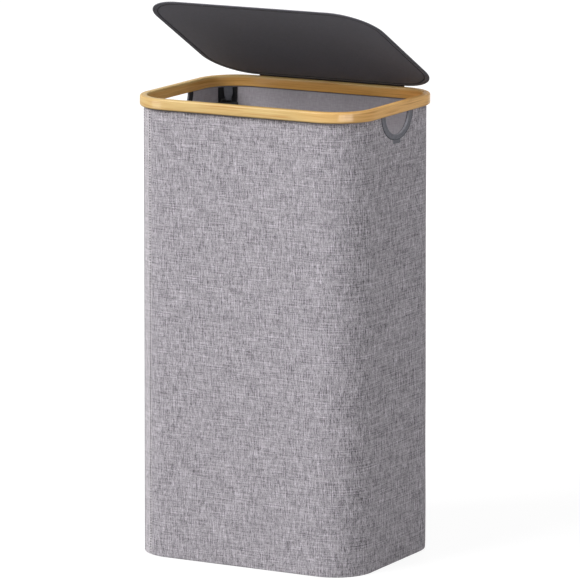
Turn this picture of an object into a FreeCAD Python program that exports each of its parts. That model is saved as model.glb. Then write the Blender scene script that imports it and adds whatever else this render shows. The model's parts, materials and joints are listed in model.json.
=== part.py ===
"""Tall lidded laundry hamper, in millimetres.

+Z is up, the front long side faces -Y, and the origin is the centre of the base on the floor.
Every outline round the hamper is a rounded rectangle about the same four corner centres, so a
piece is placed by its reach: how far its face stands outside the rectangle of those centres.
The lid is built closed, lying on the rim, and is then turned open about the fabric hinge.
"""
import FreeCAD, Part
import math
import os

Vector = FreeCAD.Vector

# ---------------------------------------------------------------- driving dimensions
# bamboo rim
rim_width = 402.0            # outside, along X
rim_depth = 300.0            # outside, along Y
rim_corner_r = 68.0          # outside, in plan
rim_height = 17.0
rim_thickness = 12.0
rim_edge_r = 3.0             # rounding of the outer edges and of the top inner edge
rim_inner_edge_r = 1.0       # rounding of the lower inner edge
rim_lip = 2.05               # wood left between the slot and the inner face
slot_depth = 8.0
slot_clearance = 0.15        # each side of the hemmed wall
slot_end_clearance = 0.3     # above the hemmed wall
overall_height = 720.0       # floor to the top of the rim

# wall
outer_fabric_t = 0.7
wall_board_t = 1.5
lining_t = 0.5
wall_flare = 1.6             # how much further out each wall stands at the floor
panel_joint = 0.5            # gap between a flat board and a corner sheet
hem_tape_t = 0.5
hem_tape_drop = 1.8          # how far the hem tape shows below the rim
seam_tape_width = 40.0
seam_tape_t = 0.5
seam_tape_gap = 0.3          # off the fabric that it is sewn to

# base
base_fabric_t = 0.7
base_board_t = 3.0
base_board_clearance = 0.4

# hand holes in the short sides
hole_width = 77.0            # at the rim's underside
hole_depth = 32.5            # below the rim's underside
hole_tape_width = 11.0
hole_tape_t = 0.5

# corner supports
pole_d = 6.0
pole_fit = 0.05              # radial, in the clip and in the foot cap
sleeve_width = 31.0
sleeve_t = 0.8
tunnel_t = 0.6
tunnel_clearance = 0.1       # round the pole
tunnel_end_gap = 1.5         # to the clip above and the foot cap below
clip_width = 36.0
clip_height = 5.5
clip_depth = 7.5
clip_edge_r = 1.2
clip_clearance = 0.1         # to the sleeve behind
socket_d = 9.6
socket_setback = 0.2         # in front of the clip's back face
socket_length = 12.0         # below the crossbar
socket_roof = 4.5            # crossbar left above the pole
bail_bar_d = 1.9
bail_rise = 4.5              # bar centre above the crossbar
bail_post_t = 1.8
bail_clearance = 0.4         # each side of the strap
strap_width = 14.0
strap_t = 1.0
strap_drop = 21.0            # rim's underside to the centre of the bail bar
strap_sewn_length = 6.0      # where both layers are sewn together
strap_clearance = 0.05       # round the bail bar
foot_cap_wall = 1.4
foot_cap_height = 10.0
foot_cap_floor = 2.0

# lid
lid_side_inset = 2.35        # inside the rim's outer faces
lid_front_inset = 2.4
lid_corner_r = 69.0
lid_gap = 0.3                # closed lid above the rim
lid_cover_t = 0.4
lid_tape_t = 0.4
lid_tape_width = 7.0
lid_board_t = 2.4
lid_board_inset = 9.5
lid_cover_slope = 0.4        # draft of the top cover over the board's edge

# hinge
hinge_inset = 1.2            # axis inside the rim's back face
hinge_rise = 0.6             # axis above the closed lid's underside
hinge_setback = 1.8          # lid's back edge in front of the axis
flap_end_inset = 1.0         # from the ends of the lid's straight back edge
flap_t = 0.6
flap_wrap_angle = 85.0       # how far the flap follows the rim's rounded back edge
flap_lid_start = 3.5         # from the axis to the flap's first edge on the lid
tack_count = 5
tack_d = 1.4
tack_cover = 1.0             # wood left between a tack's point and the slot
tack_head_d = 4.0
tack_head_t = 0.6
tack_fit = 0.02
lid_rest_angle = 29.2        # how far open the lid stands

# ---------------------------------------------------------------- sizes that follow
rim_bottom = overall_height - rim_height
corner_x = rim_width / 2 - rim_corner_r
corner_y = rim_depth / 2 - rim_corner_r
wall_stack = outer_fabric_t + wall_board_t + lining_t
slot_width = wall_stack + 2 * (hem_tape_t + slot_clearance)
wall_set_in = rim_thickness - rim_lip - slot_width + hem_tape_t + slot_clearance
slot_top = rim_bottom + slot_depth
slot_set_in = wall_set_in - hem_tape_t - slot_clearance
hem_top = slot_top - slot_end_clearance
wall_top = hem_top - hem_tape_t
base_board_top = base_fabric_t + base_board_t
floor_top = base_board_top + lining_t
hem_bottom = rim_bottom - hem_tape_drop

pole_r = pole_d / 2
bail_z = rim_bottom - strap_drop
clip_top = bail_z - bail_rise
clip_bottom = clip_top - clip_height
socket_bottom = clip_bottom - socket_length
pole_top = clip_top - socket_roof
pole_bottom = floor_top + foot_cap_floor
foot_cap_top = floor_top + foot_cap_height

lid_bottom = overall_height + lid_gap
lid_flange_t = 2 * (lid_cover_t + lid_tape_t)
hinge_y = rim_depth / 2 - hinge_inset
hinge_z = lid_bottom + hinge_rise
lid_back = hinge_y - hinge_setback
lid_front = -rim_depth / 2 + lid_front_inset
lid_half_width = rim_width / 2 - lid_side_inset
flap_width = 2 * (lid_half_width - lid_corner_r - flap_end_inset)

CORNERS = {
    "front_left": (-1, -1, 225.0),
    "front_right": (1, -1, 315.0),
    "back_right": (1, 1, 45.0),
    "back_left": (-1, 1, 135.0),
}
FAR = 1000.0                 # a cutter's size, well past the hamper


# ---------------------------------------------------------------- outlines and solids
def rounded_rectangle(x_half, y_half, radius, z, y_centre=0.0):
    """Closed wire at height z: straight sides joined by quarter circles."""
    x_in = x_half - radius
    y_in = y_half - radius
    edges = []
    for sx, sy, turn in ((1, 1, 0), (-1, 1, 90), (-1, -1, 180), (1, -1, 270)):
        centre = Vector(sx * x_in, y_centre + sy * y_in, z)
        points = []
        for degrees in (turn, turn + 45, turn + 90):
            angle = math.radians(degrees)
            points.append(centre + Vector(radius * math.cos(angle), radius * math.sin(angle), 0))
        edges.append(Part.Arc(*points).toShape())
    sides = []
    for index, arc in enumerate(edges):
        following = edges[(index + 1) % 4]
        sides.append(arc)
        sides.append(Part.makeLine(arc.Vertexes[1].Point, following.Vertexes[0].Point))
    return Part.Wire(sides)


def hamper_outline(reach, z):
    return rounded_rectangle(corner_x + reach, corner_y + reach, reach, z)


def hamper_block(reach, z0, z1):
    """Straight-sided solid of one outline."""
    return Part.Face(hamper_outline(reach, z0)).extrude(Vector(0, 0, z1 - z0))


def wall_reach(depth, z):
    """Reach of the face that lies `depth` inside the wall's outer face, at height z."""
    return rim_corner_r - wall_set_in - depth + wall_flare * (1 - z / wall_top)


def wall_block(depth, z0, z1):
    """Solid bounded by the face `depth` inside the wall, which flares towards the floor."""
    lower = hamper_outline(wall_reach(depth, z0), z0)
    upper = hamper_outline(wall_reach(depth, z1), z1)
    return Part.makeLoft([lower, upper], True, True)


def wall_ring(outer_depth, inner_depth, z0, z1):
    return wall_block(outer_depth, z0, z1).cut(wall_block(inner_depth, z0, z1))


def box(x0, x1, y0, y1, z0, z1):
    return Part.makeBox(x1 - x0, y1 - y0, z1 - z0, Vector(x0, y0, z0))


def hand_hole(grow, x0=-FAR, x1=FAR):
    """Cutter along X for the hand holes: half an ellipse hung from the rim, `grow` wider."""
    half = hole_width / 2 + grow
    depth = hole_depth + grow
    centre = Vector(x0, 0, rim_bottom)
    side = Vector(x0, half, rim_bottom)
    bottom = Vector(x0, 0, rim_bottom - depth)
    if half >= depth:
        curve = Part.Ellipse(side, bottom, centre).toShape(0, math.pi)
    else:
        curve = Part.Ellipse(bottom, side, centre).toShape(-math.pi / 2, math.pi / 2)
    top = overall_height
    first = curve.Vertexes[0].Point
    last = curve.Vertexes[1].Point
    path = [last, Vector(x0, last.y, top), Vector(x0, first.y, top), first]
    wire = Part.Wire([curve] + [Part.makeLine(a, b) for a, b in zip(path, path[1:])])
    return Part.Face(wire).extrude(Vector(x1 - x0, 0, 0))


def at_corner(shape, corner):
    """Move a solid from the corner frame, +X outwards from the corner's centre, to its corner."""
    sx, sy, bearing = CORNERS[corner]
    placed = shape.copy()
    placed.rotate(Vector(0, 0, 0), Vector(0, 0, 1), bearing)
    placed.translate(Vector(sx * corner_x, sy * corner_y, 0))
    return placed


def upright(radius, distance, z0, z1):
    """Vertical cylinder in the corner frame."""
    return Part.makeCylinder(radius, z1 - z0, Vector(distance, 0, z0))


def plan_reach(point):
    return math.hypot(max(abs(point.x) - corner_x, 0.0), max(abs(point.y) - corner_y, 0.0))


# ---------------------------------------------------------------- rim and wall
def make_slot():
    """Groove under the rim, broken at the hand holes."""
    outer = rim_corner_r - slot_set_in
    groove = hamper_block(outer, rim_bottom, slot_top)
    groove = groove.cut(hamper_block(outer - slot_width, rim_bottom, slot_top))
    return groove.cut(hand_hole(0.0))


def make_rim():
    rim = hamper_block(rim_corner_r, rim_bottom, overall_height)
    rim = rim.cut(hamper_block(rim_corner_r - rim_thickness, rim_bottom, overall_height))
    middle = rim_corner_r - rim_thickness / 2
    rounded, eased = [], []
    for edge in rim.Edges:
        point = edge.valueAt((edge.FirstParameter + edge.LastParameter) / 2)
        low = abs(point.z - rim_bottom) < 1e-6
        high = abs(point.z - overall_height) < 1e-6
        if high or (low and plan_reach(point) > middle):
            rounded.append(edge)
        elif low:
            eased.append(point)
    rim = rim.makeFillet(rim_edge_r, rounded)
    lower_inner = []
    for edge in rim.Edges:
        point = edge.valueAt((edge.FirstParameter + edge.LastParameter) / 2)
        if any(point.distanceToPoint(old) < 1e-3 for old in eased):
            lower_inner.append(edge)
    rim = rim.makeFillet(rim_inner_edge_r, lower_inner)
    return rim.cut(make_slot())


def wall_layer(outer_depth, inner_depth, bottom):
    """One layer of the wall, open at both hand holes."""
    return wall_ring(outer_depth, inner_depth, bottom, wall_top).cut(hand_hole(hole_tape_t))


def make_boards():
    """Flat boards in the four sides and curved sheets in the four corners."""
    layer = wall_layer(outer_fabric_t, outer_fabric_t + wall_board_t, base_fabric_t)
    x_cut = corner_x - panel_joint / 2
    y_cut = corner_y - panel_joint / 2
    boards = {
        "front_board": layer.common(box(-x_cut, x_cut, -FAR, 0, 0, FAR)),
        "back_board": layer.common(box(-x_cut, x_cut, 0, FAR, 0, FAR)),
        "left_board": layer.common(box(-FAR, 0, -y_cut, y_cut, 0, FAR)),
        "right_board": layer.common(box(0, FAR, -y_cut, y_cut, 0, FAR)),
    }
    x_start = corner_x + panel_joint / 2
    y_start = corner_y + panel_joint / 2
    for corner, (sx, sy, _) in CORNERS.items():
        block = box(x_start, FAR, y_start, FAR, 0, FAR)
        if sx < 0:
            block = block.mirror(Vector(0, 0, 0), Vector(1, 0, 0))
        if sy < 0:
            block = block.mirror(Vector(0, 0, 0), Vector(0, 1, 0))
        boards["corner_sheet_" + corner] = layer.common(block)
    return boards


def make_lining():
    inner = wall_layer(wall_stack - lining_t, wall_stack, base_board_top)
    floor = wall_block(wall_stack, base_board_top, floor_top)
    return inner.fuse(floor).removeSplitter()


def make_hem_tape():
    """Tape folded over the top edge of the wall, held in the rim's slot."""
    tape = wall_ring(-hem_tape_t, wall_stack + hem_tape_t, hem_bottom, hem_top)
    tape = tape.cut(wall_ring(0.0, wall_stack, hem_bottom, wall_top))
    return tape.cut(hand_hole(hole_tape_width))


def make_hole_tape(side):
    """Tape bound round a hand hole, over both faces of the wall and its cut edge."""
    low = rim_bottom - hole_depth - hole_tape_width
    x0, x1 = (-FAR, 0.0) if side < 0 else (0.0, FAR)
    tape = wall_ring(-hole_tape_t, wall_stack + hole_tape_t, low, rim_bottom)
    tape = tape.common(hand_hole(hole_tape_width, x0, x1))
    tape = tape.cut(hand_hole(0.0, x0, x1))
    return tape.cut(wall_ring(0.0, wall_stack, base_fabric_t, wall_top).cut(hand_hole(hole_tape_t)))


def make_seam_tape():
    """Plain tape over the closing seam of the outer fabric, down the front left corner."""
    strip = wall_ring(-seam_tape_gap - seam_tape_t, -seam_tape_gap, base_fabric_t, hem_bottom)
    cutter = box(0, FAR, -seam_tape_width / 2, seam_tape_width / 2, 0, FAR)
    return strip.common(at_corner(cutter, "front_left"))


def make_base_board():
    reach = wall_reach(outer_fabric_t + wall_board_t + base_board_clearance, base_board_top)
    return hamper_block(reach, base_fabric_t, base_board_top)


# ---------------------------------------------------------------- corner supports
def sleeve_face(z):
    """Distance from a corner's centre to the front of the sleeve's band."""
    return wall_reach(wall_stack + sleeve_t, z)


def pole_distance():
    return sleeve_face(wall_top) - clip_clearance - socket_setback - socket_d / 2


def make_sleeves():
    """Band sewn down the lining in each corner, with a tunnel that holds the pole."""
    band_ring = wall_ring(wall_stack, wall_stack + sleeve_t, floor_top, hem_bottom)
    inside = wall_block(wall_stack + sleeve_t, floor_top, hem_bottom)
    strip = box(0, FAR, -sleeve_width / 2, sleeve_width / 2, 0, FAR)
    cavity = pole_r + tunnel_clearance
    outside = cavity + tunnel_t
    z0 = foot_cap_top + tunnel_end_gap
    z1 = socket_bottom - tunnel_end_gap
    centre = pole_distance()
    reach = sleeve_face(z0) + outside
    tunnel = upright(outside, centre, z0, z1).fuse(box(centre, reach, -outside, outside, z0, z1))
    tunnel = tunnel.cut(upright(cavity, centre, z0, z1))
    tunnel = tunnel.cut(box(centre, reach, -cavity, cavity, z0, z1))
    sleeves = {}
    for corner in CORNERS:
        band = band_ring.common(at_corner(strip, corner))
        sleeve = band.fuse(at_corner(tunnel, corner).common(inside))
        sleeves["pole_sleeve_" + corner] = sleeve.removeSplitter()
    return sleeves


def make_pole():
    return upright(pole_r, pole_distance(), pole_bottom, pole_top)


def make_foot_cap():
    bore = pole_r + pole_fit
    cap = upright(bore + foot_cap_wall, pole_distance(), floor_top, foot_cap_top)
    return cap.cut(upright(bore, pole_distance(), pole_bottom, foot_cap_top))


def bail_distance():
    """Distance from the corner's centre to the bail bar; the flat strap clears the curved band."""
    loop = bail_bar_d / 2 + strap_clearance + strap_t
    flat = math.sqrt(sleeve_face(wall_top) ** 2 - (strap_width / 2) ** 2)
    return flat - strap_clearance - loop


def make_clip():
    """Moulded clip: crossbar, socket for the pole below it, bail for the strap above it."""
    back = sleeve_face(wall_top) - clip_clearance
    half = clip_width / 2
    bar = box(back - clip_depth, back, -half, half, clip_bottom, clip_top)
    bar = bar.makeFillet(clip_edge_r, bar.Edges)
    clip = bar.fuse(upright(socket_d / 2, pole_distance(), socket_bottom, clip_bottom + clip_edge_r))
    inner = strap_width / 2 + bail_clearance
    outer = inner + bail_post_t
    distance = bail_distance()
    radius = bail_bar_d / 2
    for y0, y1 in ((-outer, -inner), (inner, outer)):
        foot = clip_top - clip_edge_r
        clip = clip.fuse(box(distance - radius, distance + radius, y0, y1, foot, bail_z))
    rod = Part.makeCylinder(radius, 2 * outer, Vector(distance, -outer, bail_z), Vector(0, 1, 0))
    clip = clip.fuse(rod).removeSplitter()
    return clip.cut(upright(pole_r + pole_fit, pole_distance(), socket_bottom, pole_top))


def make_strap():
    """Webbing looped through the bail and sewn to itself, with its end under the rim."""
    hole = bail_bar_d / 2 + strap_clearance
    loop = hole + strap_t
    distance = bail_distance()
    joined = rim_bottom - strap_sewn_length

    def leg_profile(radius, apex):
        points = [
            Vector(distance + radius, 0, bail_z),
            Vector(distance + radius, 0, apex),
            Vector(distance - radius, 0, bail_z),
        ]
        bend = Part.Arc(points[2], Vector(distance, 0, bail_z - radius), points[0]).toShape()
        sides = [Part.makeLine(points[0], points[1]), Part.makeLine(points[1], points[2])]
        return Part.Face(Part.Wire(sides + [bend]))

    web = leg_profile(loop, joined + 2 * strap_t).extrude(Vector(0, strap_width, 0))
    back = distance + loop
    web = web.fuse(box(back - 2 * strap_t, back, 0, strap_width, joined, rim_bottom))
    web = web.fuse(box(back - strap_t, back, 0, strap_width, bail_z, rim_bottom))
    inside = leg_profile(hole, joined).extrude(Vector(0, strap_width, 0))
    web = web.cut(inside).removeSplitter()
    web.translate(Vector(0, -strap_width / 2, 0))
    return web


# ---------------------------------------------------------------- lid
def lid_outline(inset, z):
    y_half = (lid_back - lid_front) / 2 - inset
    middle = (lid_back + lid_front) / 2
    return rounded_rectangle(lid_half_width - inset, y_half, lid_corner_r - inset, z, middle)


def lid_block(inset, z0, z1):
    base = lid_outline(inset, lid_bottom + z0)
    return Part.Face(base).extrude(Vector(0, 0, z1 - z0))


def make_lid():
    """The closed lid, layer by layer from its underside."""
    under = lid_tape_t
    middle = under + lid_cover_t
    flange = middle + lid_cover_t
    board_top = middle + lid_board_t
    cover_edge = lid_board_inset - lid_cover_t
    tape = lid_block(0.0, 0.0, lid_flange_t).cut(lid_block(lid_tape_width, 0.0, lid_flange_t))
    tape = tape.cut(lid_block(lid_tape_t, under, flange))
    dome = Part.makeLoft([
        lid_outline(cover_edge - lid_cover_slope, lid_bottom + middle),
        lid_outline(cover_edge, lid_bottom + board_top + lid_cover_t),
    ], True, True)
    cover = lid_block(lid_tape_t, middle, flange).fuse(dome)
    cover = cover.cut(lid_block(lid_board_inset, middle, board_top)).removeSplitter()
    flap_end = hinge_setback + lid_tape_width
    flap = box(-flap_width / 2, flap_width / 2, hinge_y - flap_end, hinge_y - flap_lid_start,
               lid_bottom + lid_flange_t, lid_bottom + lid_flange_t + flap_t)
    return {
        "lid_board": lid_block(lid_board_inset, middle, board_top),
        "lid_under_cover": lid_block(lid_tape_t, under, middle),
        "lid_top_cover": cover,
        "lid_edge_tape": tape,
        "hinge_flap_lid": flap,
    }


def opened(shape):
    """Turn a closed lid piece to the angle at which the lid stands."""
    turned = shape.copy()
    turned.rotate(Vector(0, hinge_y, hinge_z), Vector(-1, 0, 0), lid_rest_angle)
    return turned


def tack_places():
    pitch = flap_width / tack_count
    first = -flap_width / 2 + pitch / 2
    z = rim_bottom + rim_height / 2
    return [Vector(first + index * pitch, rim_depth / 2, z) for index in range(tack_count)]


def tack_shanks(radius):
    length = slot_set_in - tack_cover + flap_t
    start = Vector(0, flap_t, 0)
    return [Part.makeCylinder(radius, length, place + start, Vector(0, -1, 0))
            for place in tack_places()]


def make_tacks():
    tacks = []
    for place, shank in zip(tack_places(), tack_shanks(tack_d / 2)):
        start = place + Vector(0, flap_t, 0)
        head = Part.makeCylinder(tack_head_d / 2, tack_head_t, start, Vector(0, 1, 0))
        tacks.append(shank.fuse(head).removeSplitter())
    return Part.makeCompound(tacks)


def make_flap_root():
    """Lower part of the hinge flap, tacked to the rim's back face and laid over its edge."""
    back = rim_depth / 2
    start = -flap_width / 2
    low = rim_bottom + rim_edge_r
    high = overall_height - rim_edge_r
    wrap = math.radians(flap_wrap_angle)

    def edge_point(radius, angle):
        y = back - rim_edge_r + radius * math.cos(angle)
        return Vector(start, y, high + radius * math.sin(angle))

    def edge_arc(radius):
        points = [edge_point(radius, angle) for angle in (0.0, wrap / 2, wrap)]
        return Part.Arc(*points).toShape()

    inner = rim_edge_r
    outer = rim_edge_r + flap_t
    profile = Part.Wire([
        edge_arc(outer),
        Part.makeLine(edge_point(outer, wrap), edge_point(inner, wrap)),
        edge_arc(inner),
        Part.makeLine(edge_point(inner, 0.0), Vector(start, back, low)),
        Part.makeLine(Vector(start, back, low), Vector(start, back + flap_t, low)),
        Part.makeLine(Vector(start, back + flap_t, low), edge_point(outer, 0.0)),
    ])
    flap = Part.Face(profile).extrude(Vector(flap_width, 0, 0))
    for hole in tack_shanks(tack_d / 2 + tack_fit):
        flap = flap.cut(hole)
    return flap


# ---------------------------------------------------------------- build
def build():
    rim = make_rim()
    for hole in tack_shanks(tack_d / 2 + tack_fit):
        rim = rim.cut(hole)
    nodes = {
        "bamboo_rim": rim,
        "outer_fabric": wall_layer(0.0, outer_fabric_t, base_fabric_t),
        "seam_tape": make_seam_tape(),
        "lining": make_lining(),
        "hem_tape": make_hem_tape(),
        "hand_hole_tape_left": make_hole_tape(-1),
        "hand_hole_tape_right": make_hole_tape(1),
        "base_fabric": hamper_block(wall_reach(0.0, base_fabric_t), 0.0, base_fabric_t),
        "base_board": make_base_board(),
        "hinge_flap_root": make_flap_root(),
        "hinge_tacks": make_tacks(),
    }
    nodes.update(make_boards())
    nodes.update(make_sleeves())
    nodes["pole_foot_caps"] = Part.makeCompound([at_corner(make_foot_cap(), c) for c in CORNERS])
    clear_of_sleeves = wall_block(wall_stack + sleeve_t + clip_clearance, floor_top, rim_bottom)
    for corner in CORNERS:
        nodes["support_pole_" + corner] = at_corner(make_pole(), corner)
        nodes["pole_clip_" + corner] = at_corner(make_clip(), corner).common(clear_of_sleeves)
        nodes["pole_strap_" + corner] = at_corner(make_strap(), corner)
    for name, shape in make_lid().items():
        nodes[name] = opened(shape)
    return nodes


os.makedirs("parts", exist_ok=True)
for node, solid in build().items():
    if solid.isNull() or not solid.isValid() or not solid.Solids:
        raise RuntimeError("bad solid: " + node)
    solid.exportStep(os.path.join("parts", node + ".step"))
    print(node, len(solid.Solids), "solid(s),", round(solid.Volume / 1000, 2), "cm3")
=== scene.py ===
"""Looks of a tall lidded laundry hamper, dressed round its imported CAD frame.

Metres, +Z up, front long side towards -Y. As in the CAD source, every outline round the hamper is
a rounded rectangle about the same four corner centres, so a piece is placed by its reach: how far
its face stands outside the rectangle of those centres. The lid is built closed and turned open.
"""
import json
import math

import bpy
import bmesh
import numpy as np
from mathutils import Matrix, Vector


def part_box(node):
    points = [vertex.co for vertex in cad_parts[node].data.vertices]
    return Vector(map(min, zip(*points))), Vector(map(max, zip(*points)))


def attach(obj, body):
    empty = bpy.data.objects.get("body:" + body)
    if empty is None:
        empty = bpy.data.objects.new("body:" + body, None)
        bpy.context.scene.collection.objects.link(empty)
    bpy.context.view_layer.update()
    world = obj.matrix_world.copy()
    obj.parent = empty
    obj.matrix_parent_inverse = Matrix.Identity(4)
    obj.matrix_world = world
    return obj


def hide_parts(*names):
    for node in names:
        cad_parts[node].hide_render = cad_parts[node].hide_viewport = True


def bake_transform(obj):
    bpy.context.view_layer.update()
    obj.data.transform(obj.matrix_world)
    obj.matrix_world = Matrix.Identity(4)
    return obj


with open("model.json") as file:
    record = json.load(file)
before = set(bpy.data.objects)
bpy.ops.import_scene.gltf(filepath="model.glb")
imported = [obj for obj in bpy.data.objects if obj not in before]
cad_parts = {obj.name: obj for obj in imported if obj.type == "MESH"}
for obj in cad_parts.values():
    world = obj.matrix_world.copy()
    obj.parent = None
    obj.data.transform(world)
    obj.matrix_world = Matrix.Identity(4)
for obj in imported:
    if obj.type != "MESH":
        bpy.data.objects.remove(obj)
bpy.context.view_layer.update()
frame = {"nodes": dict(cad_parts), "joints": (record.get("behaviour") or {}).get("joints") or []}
nodes = frame["nodes"]
hinge = frame["joints"][0]

# ---- sizes
MM = 0.001
CORNER_R = 68.0 * MM              # rim's outside corner
RIM_EDGE_R = 3.0 * MM
RIM_INNER_EDGE_R = 1.0 * MM
RIM_THICKNESS = 12.0 * MM
SLOT_INSET = 5.95 * MM            # rim's outer face to the slot
SLOT_WIDTH = 4.0 * MM
SLOT_DEPTH = 8.0 * MM
WALL_INSET = 6.6 * MM             # rim's outer face to the wall's outer face, at the top
WALL_FLARE = 1.6 * MM
WALL_STACK = 2.7 * MM             # cloth, board and lining
CLOTH_T = 0.62 * MM
LINING_T = 0.45 * MM
HEM_T = 0.5 * MM
HEM_DROP = 1.8 * MM
SLOT_END_GAP = 0.3 * MM           # above the bound edge of the wall
CLEAR = 0.05 * MM                 # between pieces that lie on each other
HOLE_HALF = 38.5 * MM
HOLE_DEPTH = 32.5 * MM
HOLE_TAPE = 11.0 * MM
HOLE_TAPE_T = 0.5 * MM
STRAP_WIDTH = 14.0 * MM
STRAP_T = 1.0 * MM
BAIL_R = 0.95 * MM                # wire of a pole clip's bail
SLEEVE_T = 0.8 * MM               # band sewn down a corner
CORNER_STATIONS = 32              # of a lap, in each corner

rim_low, rim_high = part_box("bamboo_rim")
RIM_TOP = rim_high.z
RIM_BOTTOM = rim_low.z
CX = rim_high.x - CORNER_R
CY = rim_high.y - CORNER_R
WALL_TOP = RIM_BOTTOM + SLOT_DEPTH - SLOT_END_GAP - HEM_T
UNDER_HEM = RIM_BOTTOM - HEM_DROP - 0.1 * MM      # where the tapes on the wall end
FLOOR_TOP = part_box("pole_foot_caps")[0].z
HINGE = Vector(hinge["pos_m"])
LID_OPEN = -math.radians(hinge["range_deg"][0])
CORNERS = {
    "front_left": (-1, -1, 225.0),
    "front_right": (1, -1, 315.0),
    "back_right": (1, 1, 45.0),
    "back_left": (-1, 1, 135.0),
}


def wall_reach(depth, z):
    """Reach of the face that lies `depth` inside the wall's outer face, at height z."""
    return CORNER_R - WALL_INSET - depth + WALL_FLARE * (1 - z / WALL_TOP)


def smooth(low, high, value):
    """0 below low, 1 above high, and a smooth step between."""
    t = np.clip((value - low) / (high - low), 0, 1)
    return t * t * (3 - 2 * t)


def waves(seed, count, shortest, longest):
    """Random smooth function of two lengths, about -1 to 1, made of sine waves."""
    rng = np.random.default_rng(seed)
    lengths = np.exp(rng.uniform(np.log(shortest), np.log(longest), count))
    turns = rng.uniform(0, 2 * np.pi, count)
    phases = rng.uniform(0, 2 * np.pi, count)
    weights = np.sqrt(lengths / longest)

    def value(a, b):
        total = 0
        for length, turn, phase, weight in zip(lengths, turns, phases, weights):
            across = a * np.cos(turn) + b * np.sin(turn)
            total = total + weight * np.sin(2 * np.pi * across / length + phase)
        return total / weights.sum() * 2

    return value


def lengths_along(path):
    """Length of a polyline up to each of its points."""
    steps = np.linalg.norm(np.diff(path, axis=0), axis=1)
    return np.concatenate([[0.0], np.cumsum(steps)])


# ---- laps and meshes
class Lap:
    """Stations on a line round the hamper: points of the corner-centre rectangle and directions."""

    def __init__(self, base, out):
        self.base = base
        self.out = out
        self.along = lengths_along(base + out * (CORNER_R - WALL_INSET))[:, None]

    def place(self, reach, z):
        """Points for reach and z, each of shape (stations, section points)."""
        flat = self.base[:, None] + self.out[:, None] * reach[..., None]
        return np.concatenate([flat, z[..., None]], axis=2)


def corner_part(centre, start, end, count):
    """Stations round a corner centre, from one bearing to another."""
    angles = np.radians(np.linspace(start, end, count, endpoint=False))
    return np.tile(centre, (count, 1)), np.column_stack([np.cos(angles), np.sin(angles)])


def side_part(start, end, marks):
    """Straight side from start to end; marks are shares of its length."""
    start, end = np.array(start), np.array(end)
    base = start + (end - start) * marks[:, None]
    run = (end - start) / np.linalg.norm(end - start)
    return base, np.tile([run[1], -run[0]], (len(base), 1))


def lap_round(x_half, y_front, y_back, long_marks, short_marks):
    """Closed lap that starts in the middle of the front left corner and runs along the front."""
    half = CORNER_STATIONS // 2
    corners = [(-x_half, y_front), (x_half, y_front), (x_half, y_back), (-x_half, y_back)]
    parts = [corner_part(corners[0], 225, 270, half)]
    for index, marks in enumerate((long_marks, short_marks, long_marks)):
        parts.append(side_part(corners[index], corners[index + 1], marks))
        start = (270, 0, 90)[index]
        parts.append(corner_part(corners[index + 1], start, start + 90, CORNER_STATIONS))
    parts.append(side_part(corners[3], corners[0], short_marks))
    parts.append(corner_part(corners[0], 180, 225, half))
    base, out = zip(*parts)
    return Lap(np.concatenate(base), np.concatenate(out))


def even_marks(count):
    return np.linspace(0, 1, count, endpoint=False)


def hole_marks(half):
    """Marks of a short side, closer together towards both ends of its hand hole."""
    before = np.linspace(-CY, -half - 0.02 * MM, 10)
    within = half * np.sin(np.linspace(-np.pi / 2, np.pi / 2, 24))
    return (np.concatenate([before, within, -before[:0:-1]]) + CY) / (2 * CY)


def on_short_side(lap):
    """Which stations are on the straight part of a short side."""
    return np.abs(lap.out[:, 0]) > 1 - 1e-6


def part_lap(lap, keep):
    """The stations of a closed lap that keep says, in one run."""
    chosen = np.nonzero(keep)[0]
    breaks = np.nonzero(np.diff(chosen) > 1)[0]
    if len(breaks):
        chosen = np.roll(chosen, -(breaks[0] + 1))
    return Lap(lap.base[chosen], lap.out[chosen])


def cloth_map(points, along, across, depth=0.0):
    """Cloth coordinates in metres for an array of points; the materials' threads follow them."""
    cloth = np.zeros(points.shape)
    for axis, value in enumerate((along, across, depth)):
        cloth[..., axis] = value
    return cloth


def make_object(name, vertices, faces, cloth=None, angle=40, weld=False):
    """Smooth mesh object, sharp where faces meet at more than angle degrees."""
    mesh = bpy.data.meshes.new(name)
    mesh.from_pydata(np.asarray(vertices).reshape(-1, 3).tolist(), [], faces)
    if cloth is not None:
        attribute = mesh.attributes.new("cloth", "FLOAT_VECTOR", "POINT")
        attribute.data.foreach_set("vector", np.asarray(cloth, np.float32).ravel())
    if weld:
        work = bmesh.new()
        work.from_mesh(mesh)
        bmesh.ops.remove_doubles(work, verts=work.verts, dist=1e-6)
        bmesh.ops.dissolve_degenerate(work, edges=work.edges, dist=1e-7)
        work.to_mesh(mesh)
        work.free()
    mesh.validate()
    mesh.shade_smooth()
    mesh.set_sharp_from_angle(angle=math.radians(angle))
    made = bpy.data.objects.new(name, mesh)
    bpy.context.scene.collection.objects.link(made)
    return made


def grid_faces(rows, columns, closed_rows, closed_columns, start=0):
    """Quads between the points of a grid that begins at index start."""
    row = np.arange(rows if closed_rows else rows - 1)
    column = np.arange(columns if closed_columns else columns - 1)
    next_row = (row + 1) % rows
    next_column = (column + 1) % columns
    a = row[:, None] * columns + column
    b = next_row[:, None] * columns + column
    c = next_row[:, None] * columns + next_column
    d = row[:, None] * columns + next_column
    return (np.stack([a, b, c, d], -1).reshape(-1, 4) + start).tolist()


def sweep(name, points, closed, cloth=None, angle=40):
    """Closed section, points[station][section point], swept along its stations."""
    stations, section = points.shape[:2]
    faces = grid_faces(stations, section, closed, True)
    if not closed:
        faces.append(list(range(section)))
        faces.append(list(range(stations * section - 1, (stations - 1) * section - 1, -1)))
    return make_object(name, points, faces, cloth, angle)


def wall_strip(name, lap, depth, z, across):
    """Open sweep along part of a lap; depth is in from the wall's outer face."""
    points = lap.place(wall_reach(depth, z), z)
    return sweep(name, points, False, cloth_map(points, lap.along, across))


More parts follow.
